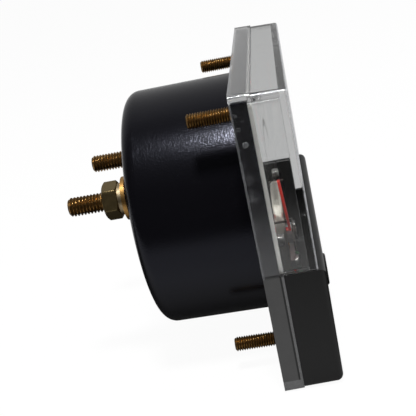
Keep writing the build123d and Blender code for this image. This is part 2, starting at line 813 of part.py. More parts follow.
def make_zero_lever():
    """Lever round the front jewel screw: a fork down to the adjuster, a tab for the hairspring
    and a tail opposite the tab that balances it."""
    fork_end = pin_height - pin_radius - 0.6
    fork_top = pin_height + pin_radius + 1.4
    body = rod(lever_ring_radius, lever_front_y, lever_back_y, z=pivot_height)
    body += block(-lever_arm_width / 2, lever_arm_width / 2, lever_front_y, lever_back_y, fork_top,
                  pivot_height)
    body += block(-lever_fork_width / 2, lever_fork_width / 2, lever_front_y, lever_back_y, fork_end,
                  fork_top)
    slot = pin_radius + fork_clearance
    body -= block(-slot, slot, lever_front_y - 1, lever_back_y + 1, fork_end - 1, fork_top - 0.8)
    body += block(lever_ring_radius - 1, lever_side_reach, lever_front_y, lever_back_y,
                  pivot_height - 0.3, pivot_height + 0.5)
    body += block(lever_side_reach - 0.6, lever_side_reach, lever_front_y,
                  front_spring_y + spring_height, pivot_height - 0.3, pivot_height + 0.5)
    body += block(-lever_side_reach, -lever_ring_radius + 1, lever_front_y, lever_back_y,
                  pivot_height - lever_tail_width / 2, pivot_height + lever_tail_width / 2)
    return body - rod(jewel_screw_radius + fit_clearance, lever_front_y - 1, lever_back_y + 1,
                      z=pivot_height)


def tube(points, radius, bends):
    """A round wire along straight runs joined by arcs."""
    path = FilletPolyline(*points, radius=bends)
    first = path @ 0
    section = Plane(origin=first, z_dir=path % 0) * Circle(radius)
    return sweep(section, path)


def make_green_lead():
    """Green lead from the front bridge, down past the movement and back to the left terminal."""
    y = bridge_front_y - lead_radius
    x = -movement_screw_offset + 3.2
    side_x = -ring_radius - lead_side_gap
    lug_x = -terminal_spacing / 2
    low_z = pivot_height - lead_drop
    back_y = lug_y - 3
    points = [(x, y, screw_height + 0.8), (x, y, low_z), (side_x, y, low_z),
              (side_x, back_y, low_z), (side_x, back_y, pivot_height),
              (lug_x, back_y, lug_joint_z), (lug_x, lug_y, lug_joint_z)]
    return tube(points, lead_radius, lead_bend)


def make_series_resistor():
    """Resistor across the can, its right wire bent up to the right lug."""
    y = resistor_y
    z = lug_joint_z
    lug_x = terminal_spacing / 2 - lug_joint_gap
    x0 = resistor_shift - resistor_length / 2
    x1 = x0 + resistor_length
    body = Pos((x0 + x1) / 2, y, z) * Rot(0, 90, 0) * Cylinder(resistor_radius, resistor_length)
    ends = [edge for edge in body.edges() if edge.bounding_box().size.X < 0.01]
    body = fillet(ends, 0.4)
    body += tube([(x1 - 0.5, y, z), (lug_x, y, z), (lug_x, lug_y, z)], wire_radius, wire_bend)
    wire = Pos(x0 - resistor_wire / 2, y, z) * Rot(0, 90, 0) * Cylinder(wire_radius,
                                                                         resistor_wire + 0.4)
    return body + wire


def make_red_lead():
    """Red lead from the resistor down to the back of the rear bridge."""
    x0 = resistor_shift - resistor_length / 2 - resistor_wire - 0.2 - lead_radius
    points = [(x0, resistor_y, lug_joint_z), (x0, resistor_y, screw_height),
              (x0, rear_bar_y, screw_height)]
    return tube(points, lead_radius, lead_bend)


def make_pieces():
    """Every piece of the meter under the name of its node."""
    pieces = {
        "clear_cover": make_clear_cover(),
        "lower_mask": make_lower_mask(),
        "zero_adjuster": make_zero_adjuster(),
        "base_case": make_base_case(),
        "panel_studs": make_panel_studs(),
        "flat_washers": make_flat_washers(),
        "spring_washer": make_spring_washer(),
        "dial_plate": make_dial_plate(),
        "dial_scale": make_dial_scale(),
        "dial_screws": make_dial_screws(),
        "pointer_stops": make_pointer_stops(),
        "front_frame": make_front_frame(),
        "yoke_ring": make_yoke_ring(),
        "rear_frame": make_rear_frame(),
        "front_bridge": make_front_bridge(),
        "core_magnet": make_core_magnet(),
        "core_clamps": make_core_clamps(),
        "movement_screws": make_movement_screws(),
        "front_jewel_screw": make_front_jewel_screw(),
        "rear_jewel_screw": make_rear_jewel_screw(),
        "front_staff": make_front_staff(),
        "rear_staff": make_rear_staff(),
        "coil_former": make_coil_former(),
        "coil_winding": make_coil_winding(),
        "pointer": make_pointer(),
        "balance_cross": make_balance_cross(),
        "balance_weights": make_balance_weights(),
        "front_hairspring": make_front_hairspring(),
        "rear_hairspring": make_rear_hairspring(),
        "zero_lever": make_zero_lever(),
        "green_lead": make_green_lead(),
        "red_lead": make_red_lead(),
        "series_resistor": make_series_resistor(),
    }
    for name, side in (("left", -1), ("right", 1)):
        pieces["terminal_stud_" + name] = make_terminal_stud(side)
        pieces["terminal_nut_" + name] = make_terminal_nut(side)
        pieces["solder_lug_" + name] = make_solder_lug(side)
    return pieces


os.makedirs("parts", exist_ok=True)
for node_name, piece in make_pieces().items():
    export_step(piece, "parts/" + node_name + ".step")
    print(node_name, len(piece.solids()), round(piece.volume, 2))
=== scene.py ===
"""Looks of an analog panel meter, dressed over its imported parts.

Lengths in the classes are millimetres, and a mesh is scaled to metres when it is made.
The row frame has its origin in the middle of the panel seat, -Y out of the front and +Z up.
"""

import json
import logging
import math
from dataclasses import dataclass, field
from enum import Enum
from typing import Iterable, Sequence, Union

import bmesh
import bpy
import numpy as np
from mathutils import Matrix

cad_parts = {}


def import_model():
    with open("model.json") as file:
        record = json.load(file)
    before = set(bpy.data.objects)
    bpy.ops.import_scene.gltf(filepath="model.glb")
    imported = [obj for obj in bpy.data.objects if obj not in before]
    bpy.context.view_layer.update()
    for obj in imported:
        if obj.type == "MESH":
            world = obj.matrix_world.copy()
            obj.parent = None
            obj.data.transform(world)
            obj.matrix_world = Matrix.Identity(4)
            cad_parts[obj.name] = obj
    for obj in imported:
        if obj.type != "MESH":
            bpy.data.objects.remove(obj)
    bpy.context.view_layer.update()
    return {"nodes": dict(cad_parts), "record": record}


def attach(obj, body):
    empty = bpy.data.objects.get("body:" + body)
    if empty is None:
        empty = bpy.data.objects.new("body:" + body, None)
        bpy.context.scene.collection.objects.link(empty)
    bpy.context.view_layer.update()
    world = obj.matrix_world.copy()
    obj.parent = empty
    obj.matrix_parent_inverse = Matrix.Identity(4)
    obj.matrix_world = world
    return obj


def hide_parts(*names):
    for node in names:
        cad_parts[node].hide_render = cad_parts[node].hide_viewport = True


LOG = logging.getLogger("panel_meter")
MILLIMETRE = 0.001
SMOOTH_ANGLE = 35.0
WELD_DISTANCE = 0.0005
# Rays turn many times inside the clear walls, and come out black with fewer bounces.
LIGHT_BOUNCES = 32
Colour = tuple[float, float, float]


# Shader maths


class Signal:
    """A node socket that takes part in Python arithmetic."""

    def __init__(self, graph: "Graph", socket: bpy.types.NodeSocket) -> None:
        """Keeps the socket and the graph that it belongs to."""
        self.graph = graph
        self.socket = socket

    def _maths(self, operation: str, *values: "Input", clamp: bool = False) -> "Signal":
        """Adds a Math node on the values in order, held between 0 and 1 where clamp is set."""
        settings = {"operation": operation, "use_clamp": clamp}
        return self.graph.node("ShaderNodeMath", settings, dict(enumerate(values)))

    def __add__(self, other: "Input") -> "Signal":
        """Sum."""
        return self._maths("ADD", self, other)

    __radd__ = __add__

    def __mul__(self, other: "Input") -> "Signal":
        """Product."""
        return self._maths("MULTIPLY", self, other)

    __rmul__ = __mul__

    def __sub__(self, other: "Input") -> "Signal":
        """Difference."""
        return self._maths("SUBTRACT", self, other)

    def __rsub__(self, other: "Input") -> "Signal":
        """Difference from a number on the left."""
        return self._maths("SUBTRACT", other, self)

    def __pow__(self, other: "Input") -> "Signal":
        """Power."""
        return self._maths("POWER", self, other)

    def __abs__(self) -> "Signal":
        """Size without its sign."""
        return self._maths("ABSOLUTE", self)

    def greatest(self, other: "Input") -> "Signal":
        """The greater of two values."""
        return self._maths("MAXIMUM", self, other)

    def clamped(self) -> "Signal":
        """The value held between 0 and 1."""
        return self._maths("ADD", self, 0.0, clamp=True)

    def ramp(self, low: float, high: float) -> "Signal":
        """A smooth step, which falls where low is above high.

        Args:
            low: The value at which the step is 0.
            high: The value at which it is 1.

        Returns:
            The step from 0 to 1.
        """
        settings = {"interpolation_type": "SMOOTHSTEP"}
        values = {"Value": self, "From Min": low, "From Max": high, "To Min": 0.0, "To Max": 1.0}
        if low > high:
            values.update({"From Min": high, "From Max": low, "To Min": 1.0, "To Max": 0.0})
        return self.graph.node("ShaderNodeMapRange", settings, values)


Input = Union[Signal, float, Sequence[float]]


class Graph:
    """The node tree of one material or of the world."""

    def __init__(self, name: str, world: bpy.types.World | None = None) -> None:
        """Makes an empty material, or empties the world's tree.

        Args:
            name: The material's name.
            world: The world, where the tree belongs to it.
        """
        self.owner = world or bpy.data.materials.new(name)
        self.owner.use_nodes = True
        self.tree = self.owner.node_tree
        self.tree.nodes.clear()
        self._places: dict[str, Signal] = {}

    def node(
        self,
        kind: str,
        settings: dict[str, object] | None = None,
        values: dict[str | int, Input] | None = None,
        output: str | int = 0,
    ) -> Signal:
        """Adds any node.

        Args:
            kind: The node's type.
            settings: Attributes set before its sockets, such as an operation.
            values: Socket names or numbers with their constant or signal.
            output: The output that is returned.

        Returns:
            That output.
        """
        made = self.tree.nodes.new(kind)
        for key, setting in (settings or {}).items():
            setattr(made, key, setting)
        for key, value in (values or {}).items():
            socket = made.inputs[key]
            if isinstance(value, Signal):
                self.tree.links.new(value.socket, socket)
            else:
                socket.default_value = value
        return Signal(self, made.outputs[output])

    def place(self) -> Signal:
        """Finds the surface point, with the same nodes each time.

        Returns:
            The point in the row frame, in millimetres.
        """
        if "all" not in self._places:
            point = self.node("ShaderNodeTexCoord", output="Object")
            values = {0: point, "Scale": 1.0 / MILLIMETRE}
            self._places["all"] = self.node("ShaderNodeVectorMath", {"operation": "SCALE"}, values)
        return self._places["all"]

    def axis(self, letter: str) -> Signal:
        """Finds one coordinate of the surface point, with the same nodes each time.

        Args:
            letter: X, Y or Z.

        Returns:
            The coordinate in millimetres.
        """
        if letter not in self._places:
            values = {0: self.place()}
            self._places[letter] = self.node("ShaderNodeSeparateXYZ", None, values, letter)
        return self._places[letter]

    def attribute(self, name: str) -> Signal:
        """A number that the mesh carries at each vertex."""
        return self.node("ShaderNodeAttribute", {"attribute_name": name}, output="Fac")

    def noise(
        self,
        size: float,
        detail: float = 2.0,
        roughness: float = 0.5,
        stretch: Sequence[float] = (1.0, 1.0, 1.0),
    ) -> Signal:
        """Smooth noise.

        Args:
            size: The size of one blotch in millimetres.
            detail: How many finer layers it has.
            roughness: How strong the finer layers are.
            stretch: How much finer it is along each axis.

        Returns:
            The noise from 0 to 1.
        """
        point = self.node("ShaderNodeMapping", values={"Vector": self.place(), "Scale": stretch})
        return self.node(
            "ShaderNodeTexNoise",
            values={"Vector": point, "Scale": 1.0 / size, "Detail": detail, "Roughness": roughness},
        )

    def cells(self, size: float) -> Signal:
        """Distance to the nearest of many scattered points, for pits and grains."""
        values = {"Vector": self.place(), "Scale": 1.0 / size}
        return self.node("ShaderNodeTexVoronoi", values=values)

    def blend(self, factor: Input, first: Input, second: Input) -> Signal:
        """Mixes two colours.

        Args:
            factor: 0 for the first and 1 for the second.
            first: The first colour.
            second: The second colour.

        Returns:
            The mixed colour.
        """
        values = {0: factor}
        for number, colour in ((6, first), (7, second)):
            values[number] = colour if isinstance(colour, Signal) else (*colour, 1.0)
        return self.node("ShaderNodeMix", {"data_type": "RGBA"}, values, output=2)

    def cover(self, share: Input, under: Signal, over: Signal) -> Signal:
        """Lays one shader over another, which shows where the share is 1."""
        return self.node("ShaderNodeMixShader", values={0: share, 1: under, 2: over})

    def relief(self, height: Signal, depth: float, strength: float = 1.0) -> Signal:
        """A bumped normal, where a height of 1 stands for the depth in millimetres."""
        values = {"Height": height, "Distance": depth * MILLIMETRE, "Strength": strength}
        return self.node("ShaderNodeBump", values=values)

    def principled(self, **values: Input) -> Signal:
        """Adds the shader of one finish.

        Args:
            values: Its sockets, with _ for a blank in a socket's name.

        Returns:
            The shader's output.
        """
        sockets = {key.replace("_", " "): value for key, value in values.items()}
        base = sockets.get("Base Color")
        if base is not None and not isinstance(base, Signal):
            sockets["Base Color"] = (*base, 1.0)
        return self.node("ShaderNodeBsdfPrincipled", values=sockets)

    def finish(self, surface: Signal, output: str = "ShaderNodeOutputMaterial") -> bpy.types.ID:
        """Connects the shader to the output.

        Args:
            surface: The shader.
            output: The type of the output's node.

        Returns:
            The material or the world.
        """
        end = self.tree.nodes.new(output)
        self.tree.links.new(surface.socket, end.inputs["Surface"])
        return self.owner

    def ray(self, kind: str) -> Signal:
        """1 for the rays of one kind, such as camera rays, and 0 for the others."""
        return self.node("ShaderNodeLightPath", output=f"Is {kind} Ray")

    def lit(self) -> Signal:
        """1 for rays that light a dull surface, also through glass, and 0 for the others."""
        return self.node("ShaderNodeLightPath", output="Diffuse Depth").clamped()

    def glass_ray(self) -> Signal:
        """1 for rays that a viewer sees through glass."""
        return self.ray("Transmission") * (1 - self.lit())

    def mirror_ray(self) -> Signal:
        """1 for mirrored rays. Rays through glass count as glossy too, and are left out."""
        return self.ray("Glossy") * (1 - self.ray("Transmission")) * (1 - self.lit())


# Finishes


@dataclass(frozen=True)
class Mark:
    """A round rub on the left side of the skirt.

    It fades from its core, a share of its radius, to its edge. A ring is paler in its middle.
    """

    depth: float
    height: float
    radius: float
    ring: bool = False
    strength: float = 0.14
    core: float = 0.7
    hollow: Sequence[float] = (0.3, 0.75)
    middle: float = 0.35

    def spot(self, graph: Graph) -> Signal:
        """Works out the rub from the distance to its middle.

        Args:
            graph: The cover's material.

        Returns:
            Its strength in the core, and 0 past its edge.
        """
        across = (graph.axis("Y") - self.depth) ** 2.0
        up = (graph.axis("Z") - self.height) ** 2.0
        away = (across + up) ** 0.5
        spot = away.ramp(self.radius, self.core * self.radius)
        if self.ring:
            inside, outside = (share * self.radius for share in self.hollow)
            spot = spot * (self.middle + away.ramp(inside, outside) * (1.0 - self.middle))
        return spot * self.strength


@dataclass(frozen=True)
class ClearPlastic:
    """Clear moulded plastic with edges hazed lighter, partly as wear and partly as painted
    highlight, and a lower skirt painted grey, partly as paint and partly as painted reflection.

    Limits are the two places between which something changes. The side and top ones are
    half widths and half heights where the faces, which lean in, meet the panel.
    """

    name: str = "clear_cover_plastic"
    index: float = 1.5
    tint: Colour = (0.985, 0.99, 0.99)
    roughness: float = 0.02
    # haze colours the rubs, which are wear, and the edges, where it is partly wear and partly
    # painted highlight.
    haze: Colour = (0.46, 0.47, 0.49)
    lean: float = 0.0335
    step: float = 0.25
    step_limits: Sequence[float] = (-3.85, -3.95)
    side_limits: Sequence[float] = (34.5, 34.85)
    top_limits: Sequence[float] = (29.5, 29.85)
    side_rim: Sequence[float] = (33.9, 34.4)
    top_rim: Sequence[float] = (28.9, 29.4)
    front_limits: Sequence[float] = (-9.95, -10.3)
    rear_limits: Sequence[float] = (-0.5, -0.2)
    rear_share: float = 0.22
    inner_faces: Sequence[float] = (33.5, 28.5, -8.75)
    inner_width: Sequence[float] = (0.2, 0.04)
    left_limits: Sequence[float] = (-34.4, -34.5)
    # Painted shade: a dark dull band laid over the skirt's step on the top and bottom faces, with
    # its colour, place, width, face limits and share.
    step_shade: Colour = (0.10, 0.10, 0.105)
    step_shade_place: float = -3.95
    step_shade_width: Sequence[float] = (0.2, 0.05)
    step_shade_limits: Sequence[float] = (29.2, 29.4)
    step_shade_share: float = 0.55
    # The skirt's grey is partly paint and partly painted reflection of pale surroundings in glossy
    # plastic over the dark flange.
    paint: Colour = (0.042, 0.042, 0.042)
    paint_mottle: float = 1.25
    paint_top: Sequence[float] = (-5.12, -5.28)
    paint_front: Sequence[float] = (-4.32, -4.28)
    # The lighter border over the clear front strip and bottom is painted reflection of the clear
    # edges.
    border_reflection: Colour = (0.11, 0.111, 0.113)
    border_top: Sequence[float] = (-27.5, -27.7)
    border_rear: Sequence[float] = (-3.35, -3.45)
    seam: Colour = (0.007, 0.007, 0.007)
    seam_place: float = -3.25
    seam_width: Sequence[float] = (0.24, 0.12)
    marks: Sequence[Mark] = (
        Mark(-1.63, 21.0, 0.62, ring=True, strength=0.55),
        Mark(-0.9, 23.9, 0.5),
        Mark(-0.6, 17.4, 0.45, ring=True),
        Mark(-0.55, 20.3, 0.3),
        Mark(-0.75, 26.4, 0.45),
        Mark(-1.1, 10.6, 0.4, ring=True, strength=0.35),
        Mark(-1.9, 25.2, 0.35),
        Mark(-0.8, 14.6, 1.7, strength=0.16, core=0.0),
        Mark(-0.9, 11.2, 2.2, strength=0.14, core=0.0),
        Mark(-0.5, 5.5, 2.0, strength=0.10, core=0.0),
    )

    def _edges(self, graph: Graph) -> Signal:
        """Finds where two faces meet, from how near the point is to each of them.

        The faces lean in towards the front, and step in at the skirt, which is added back.
        The inner edges, round the front wall, are found from the inner faces.

        Args:
            graph: The material's nodes.

        Returns:
            1 on an edge and 0 away from it.
        """
        depth = graph.axis("Y")
        lean = depth * -self.lean + depth.ramp(*self.step_limits) * self.step
        across, up = abs(graph.axis("X")) + lean, abs(graph.axis("Z")) + lean
        side, top = across.ramp(*self.side_limits), up.ramp(*self.top_limits)
        rim = across.ramp(*self.side_rim).greatest(up.ramp(*self.top_rim))
        inner_side, inner_top, inner_front = (
            abs(place - face).ramp(*self.inner_width)
            for place, face in zip((across, up, depth), self.inner_faces)
        )
        inner = inner_side.greatest(inner_top) * inner_front
        outer = side * top + rim * depth.ramp(*self.front_limits)
        rear = depth.ramp(*self.rear_limits) * side.greatest(top) * self.rear_share
        return outer.greatest(inner).greatest(rear).clamped()

    def _clear(self, graph: Graph, fine: Signal, patches: Signal) -> Signal:
        """Makes the clear plastic, hazed on rubs and on edges, the edge haze partly wear and partly
        painted highlight, with painted shade in the skirt's step.

        Args:
            graph: The material's nodes.
            fine: Fine streaks from 0 to 1.
            patches: Uneven wear from 0 to 1.

        Returns:
            The shader.
        """
        waves = graph.noise(size=9.0, detail=1.0)
        clear = graph.principled(
            Base_Color=self.tint,
            Roughness=self.roughness + fine * 0.06,
            IOR=self.index,
            Transmission_Weight=1.0,
            Normal=graph.relief(waves, depth=0.06, strength=0.15),
        )
        wear_and_highlight_haze = graph.principled(Base_Color=self.haze, Roughness=0.35, Specular_IOR_Level=0.5)
        # A dark dull band over the skirt's step on the top and bottom faces: painted shade.
        step_shade = graph.principled(Base_Color=self.step_shade, Roughness=0.7)
        rubs = sum(mark.spot(graph) for mark in self.marks)
        rubs = rubs * graph.axis("X").ramp(*self.left_limits)
        # The edge haze is partly wear and partly a painted highlight for the light that clear edges
        # catch; the rubs are wear.
        worn = self._edges(graph) * (0.45 + patches * 0.5) + rubs * patches
        veil = graph.noise(size=1.6, detail=6.0, roughness=0.75).ramp(0.58, 0.85) * 0.05
        outside = abs(graph.axis("Z")).ramp(*self.step_shade_limits) * self.step_shade_share
        step = abs(graph.axis("Y") - self.step_shade_place).ramp(*self.step_shade_width)
        hazed = graph.cover((worn + veil).clamped(), clear, wear_and_highlight_haze)
        return graph.cover(step * outside, hazed, step_shade)

    def _painted(self, graph: Graph, surface: Signal, fine: Signal, patches: Signal) -> Signal:
        """Lays grey on the lower skirt, partly paint and partly painted reflection, with a dark
        seam and a lighter border that is painted reflection of the clear edges.

        Args:
            graph: The material's nodes.
            surface: The shader under it.
            fine: Fine streaks from 0 to 1.
            patches: Uneven wear from 0 to 1.

        Returns:
            The shader.
        """
        depth, height = graph.axis("Y"), graph.axis("Z")
        low, front = height.ramp(*self.border_top), depth.ramp(*self.border_rear)
        line = abs(depth - self.seam_place).ramp(*self.seam_width) * (1 - low)
        lighter = tuple(self.paint_mottle * c for c in self.paint)
        grey = graph.blend(graph.noise(size=3.0, detail=3.0), self.paint, lighter)
        # The lighter border is painted reflection of the clear front strip and bottom.
        grey = graph.blend(low.greatest(front) * (0.55 + patches * 0.45), grey, self.border_reflection)
        painted = graph.principled(
            Base_Color=graph.blend(line, grey, self.seam),
            Roughness=0.3 + fine * 0.2,
            Specular_IOR_Level=0.35,
        )
        below, behind = height.ramp(*self.paint_top), depth.ramp(*self.paint_front)
        return graph.cover(below * behind, surface, painted)

    def build(self) -> bpy.types.Material:
        """Makes the material.

        Returns:
            Clear plastic, hazed on rubs and on edges, where the haze is partly wear and partly
            painted highlight, with painted shade in the skirt's step, and painted grey on the lower
            skirt, partly as paint and partly as painted reflection.
        """
        graph = Graph(self.name)
        streaks = graph.noise(size=0.5, detail=5.0, roughness=0.6, stretch=(1.0, 1.0, 0.25))
        fine = streaks.ramp(0.62, 0.8)
        patches = graph.noise(size=0.7, detail=4.0, roughness=0.7).ramp(0.3, 0.75)
        surface = self._clear(graph, fine, patches)
        return graph.finish(self._painted(graph, surface, fine, patches))


@dataclass(frozen=True)
class Moulding:
    """Opaque moulded plastic with a fine grain on all that is behind grain_front."""

    name: str
    colour: Colour
    roughness: float
    grain: float
    grain_depth: float
    specular: float
    grain_front: float = -100.0
    sheen: Colour = (1.0, 1.0, 1.0)
    haze: float = 0.3

    def build(self) -> bpy.types.Material:
        """Makes the material.

        Returns:
            Plastic with an even grain, faint dust and slightly uneven gloss.
        """
        graph = Graph(self.name)
        grain = graph.noise(size=self.grain, detail=1.0, roughness=0.6)
        pits = graph.cells(size=self.grain * 1.25)
        behind = graph.axis("Y").ramp(self.grain_front, self.grain_front + 0.1)
        relief = (grain * 0.4 + pits * 0.6) * behind
        dust = graph.noise(size=2.2, detail=6.0, roughness=0.7).ramp(0.56, 0.78)
        worn = graph.noise(size=14.0, detail=2.0)
        lighter = tuple(c * (1.0 + self.haze) + 0.001 for c in self.colour)
        return graph.finish(
            graph.principled(
                Base_Color=graph.blend(dust * 0.6 + worn * 0.3, self.colour, lighter),
                Roughness=self.roughness + dust * 0.1 + worn * 0.06,
                Specular_IOR_Level=self.specular,
                Specular_Tint=(*self.sheen, 1.0),
                Normal=graph.relief(relief, self.grain_depth),
            )
        )


class MetalTone(Enum):
    """Colours of the meter's metals."""

    STUD = (0.43, 0.255, 0.09)
    NUT = (0.20, 0.15, 0.07)
    BRASS = (0.48, 0.27, 0.085)
    PALE_BRASS = (0.40, 0.32, 0.20)
    STEEL = (0.58, 0.575, 0.56)
    NICKEL = (0.66, 0.63, 0.56)
    IRON = (0.30, 0.295, 0.285)
    BRONZE = (0.62, 0.36, 0.15)
    ALUMINIUM = (0.74, 0.74, 0.73)
    DARK = (0.12, 0.10, 0.085)


@dataclass(frozen=True)
class Metal:
    """Bare or plated metal, darker where it has tarnished."""

    name: str
    tone: MetalTone
    roughness: float
    tarnish: float
    groove: bool = False
    darkest: float = 0.22

    def build(self) -> bpy.types.Material:
        """Makes the material.

        Returns:
            Metal with turning marks, and with dark roots where the mesh carries a groove depth.
        """
        graph = Graph(self.name)
        base = self.tone.value
        dark = tuple(self.darkest * c for c in base)
        blotch = graph.noise(size=1.1, detail=4.0, roughness=0.65).ramp(0.4, 0.75)
        marks = graph.noise(size=0.12, detail=2.0, stretch=(1.0, 4.0, 1.0))
        stain = blotch * self.tarnish
        if self.groove:
            stain = (stain + graph.attribute("groove") * 0.9).clamped()
        return graph.finish(
            graph.principled(
                Base_Color=graph.blend(stain, base, dark),
                Metallic=1.0,
                Roughness=self.roughness + stain * 0.25 + marks * 0.08,
                Normal=graph.relief(marks, depth=0.01, strength=0.6),
            )
        )


@dataclass(frozen=True)
class Paint:
    """Even paint, enamel, lacquer or ink.

    Ink that is a thin layer of its own gives print_front, the place of its front face. Its
    sides are clear, as real ink has none.
    """

    name: str
    colour: Colour
    roughness: float
    coat: float = 0.0
    peel: float = 0.004
    # The glow makes the paint give off light of its own colour: painted light, as the part is no
    # lamp.
    painted_glow: float = 0.0
    print_front: float | None = None

    def build(self) -> bpy.types.Material:
        """Makes the material.

        Returns:
            Paint with a faint orange peel and slight changes of tone, and a painted glow where one
            is set.
        """
        graph = Graph(self.name)
        peel = graph.noise(size=0.5, detail=2.0)
        tone = graph.noise(size=6.0, detail=3.0)
        deeper = tuple(0.9 * c for c in self.colour)
        shown: Input = 1.0
        if self.print_front is not None:
            shown = graph.axis("Y").ramp(self.print_front + 0.002, self.print_front + 0.001)
        return graph.finish(
            graph.principled(
                Base_Color=graph.blend(tone, self.colour, deeper),
                Alpha=shown,
                Roughness=self.roughness + tone * 0.04,
                Coat_Weight=self.coat,
                Emission_Color=(*self.colour, 1.0),
                Emission_Strength=self.painted_glow,
                Normal=graph.relief(peel, self.peel),
            )
        )


@dataclass(frozen=True)
class Winding:
    """Enamelled copper wire laid in close turns, whose ridges run across the diagonal."""

    name: str = "coil_wire"
    pitch: float = 0.12
    diagonal: float = 1.414
    # root is the colour between turns, darker as painted shade in the creases.
    root: Colour = (0.16, 0.05, 0.02)
    crest: Colour = (0.5, 0.2, 0.07)

    def build(self) -> bpy.types.Material:
        """Makes the material.

        Returns:
            Copper with fine ridges across the loop, darker between turns as painted shade.
        """
        graph = Graph(self.name)
        phase = (graph.axis("X") + graph.axis("Z")) * (math.pi * self.diagonal / self.pitch)
        ridges = abs(graph.node("ShaderNodeMath", {"operation": "SINE"}, {0: phase}))
        return graph.finish(
            graph.principled(
                # Darker between the turns: painted shade.
                Base_Color=graph.blend(ridges, self.root, self.crest),
                Metallic=1.0,
                Roughness=0.35,
                Normal=graph.relief(ridges, depth=0.03),
            )
        )


# Surfaces


def make_object(
    name: str,
    points: np.ndarray,
    faces: np.ndarray,
    values: dict[str, np.ndarray] | None = None,
) -> bpy.types.Object:
    """Puts computed points and faces into a smooth mesh object at the origin.

    Edges sharper than SMOOTH_ANGLE stay sharp.

    Args:
        name: The object's name.
        points: Points in millimetres, one row each.
        faces: Corner numbers, four to a row.
        values: Numbers for each point, by attribute name.

    Returns:
        The new object.
    """
    mesh = bpy.data.meshes.new(name)
    mesh.from_pydata((points * MILLIMETRE).tolist(), [], faces.tolist())
    for key, numbers in (values or {}).items():
        layer = mesh.attributes.new(key, "FLOAT", "POINT")
        layer.data.foreach_set("value", numbers.astype(np.float32))
    mesh.validate(clean_customdata=False)
    mesh.polygons.foreach_set("use_smooth", np.ones(len(mesh.polygons), bool))
    mesh.set_sharp_from_angle(angle=math.radians(SMOOTH_ANGLE))
    mesh.update()
    made = bpy.data.objects.new(name, mesh)
    bpy.context.scene.collection.objects.link(made)
    return made


def full_turn(columns: int) -> np.ndarray:
    """Evenly spaced angles round an axis, in radians."""
    return np.linspace(0.0, 2.0 * np.pi, columns, endpoint=False)


def ring_faces(rows: int, columns: int, start: int = 0, closed: bool = False) -> np.ndarray:
    """Faces of a grid whose columns run round an axis.

    Corner (i, j) joins (i+1, j), (i+1, j+1) and (i, j+1), with j+1 taken round.

    Args:
        rows: The number of rings.
        columns: The number of points in a ring.
        start: The number of the first point.
        closed: Whether the last ring joins the first.

    Returns:
        Four corner numbers to a row.
    """
    i = np.arange(rows if closed else rows - 1)[:, None]
    j = np.arange(columns)[None, :]
    after, beside = (i + 1) % rows, (j + 1) % columns
    here, there = i * columns, after * columns
    corners = [here + j, here + beside, there + beside, there + j]
    return np.stack(corners, -1).reshape(-1, 4) + start


def turned_surface(
    name: str,
    radii: np.ndarray,
    depths: np.ndarray,
    centre: tuple[float, float],
    closed: bool = False,
    values: dict[str, np.ndarray] | None = None,
) -> bpy.types.Object:
    """A surface round an axis that runs front to back.

    At angle a of ring i the point is (x + r cos a, depth, z + r sin a), with r and the depth
    given for each ring and angle.

    Args:
        name: The object's name.
        radii: The radius for each ring and angle.
        depths: The place along Y for each ring and angle.
        centre: The axis' X and Z.
        closed: Whether the last ring joins the first, as on a nut.
        values: Numbers for each point, by attribute name.

    Returns:
        The new object. The ends of an open surface are rings of radius 0.
    """
    rows, columns = radii.shape
    angle = full_turn(columns)
    x = centre[0] + radii * np.cos(angle)
    z = centre[1] + radii * np.sin(angle)
    points = np.stack([x, depths, z], -1).reshape(-1, 3)
    return make_object(name, points, ring_faces(rows, columns, closed=closed), values)


def hexagon_radius(angle: np.ndarray, flats: float, turn: float) -> np.ndarray:
    """Distance from the middle to the side of a hexagon.

    Half the width across flats, over the cosine of the angle from the nearest flat's middle.

    Args:
        angle: Angles round the axis, in radians.
        flats: The width across flats.
        turn: Where the first corner is, in degrees.

    Returns:
        The distance at each angle.
    """
    sixth = math.pi / 3.0
    offset = np.mod(angle - math.radians(turn), sixth) - sixth / 2.0
    return flats / 2.0 / np.cos(offset)


def weld(made: bpy.types.Object) -> None:
    """Merges points closer than WELD_DISTANCE, as at a closed end.

    Args:
        made: The object whose mesh is welded.
    """
    work = bmesh.new()
    work.from_mesh(made.data)
    bmesh.ops.remove_doubles(work, verts=work.verts, dist=WELD_DISTANCE * MILLIMETRE)
    work.to_mesh(made.data)
    work.free()


def soften(made: bpy.types.Object, width: float, angle: float) -> None:
    """Rounds the sharp edges of a piece.

    Args:
        made: The object.
        width: The width of the rounding in millimetres.
        angle: Edges sharper than this are rounded, in degrees.
    """
    bevel = made.modifiers.new("edge_rounding", "BEVEL")
    bevel.width = width * MILLIMETRE
    bevel.segments = 2
    bevel.limit_method = "ANGLE"
    bevel.angle_limit = math.radians(angle)


def dress(made: bpy.types.Object, material: bpy.types.Material) -> None:
    """Gives a piece one material in all its slots.

    Args:
        made: The piece.
        material: Its finish.
    """
    if not made.data.materials:
        made.data.materials.append(material)
    for slot in made.material_slots:
        slot.link = "OBJECT"
        slot.material = material


# Sub-assemblies


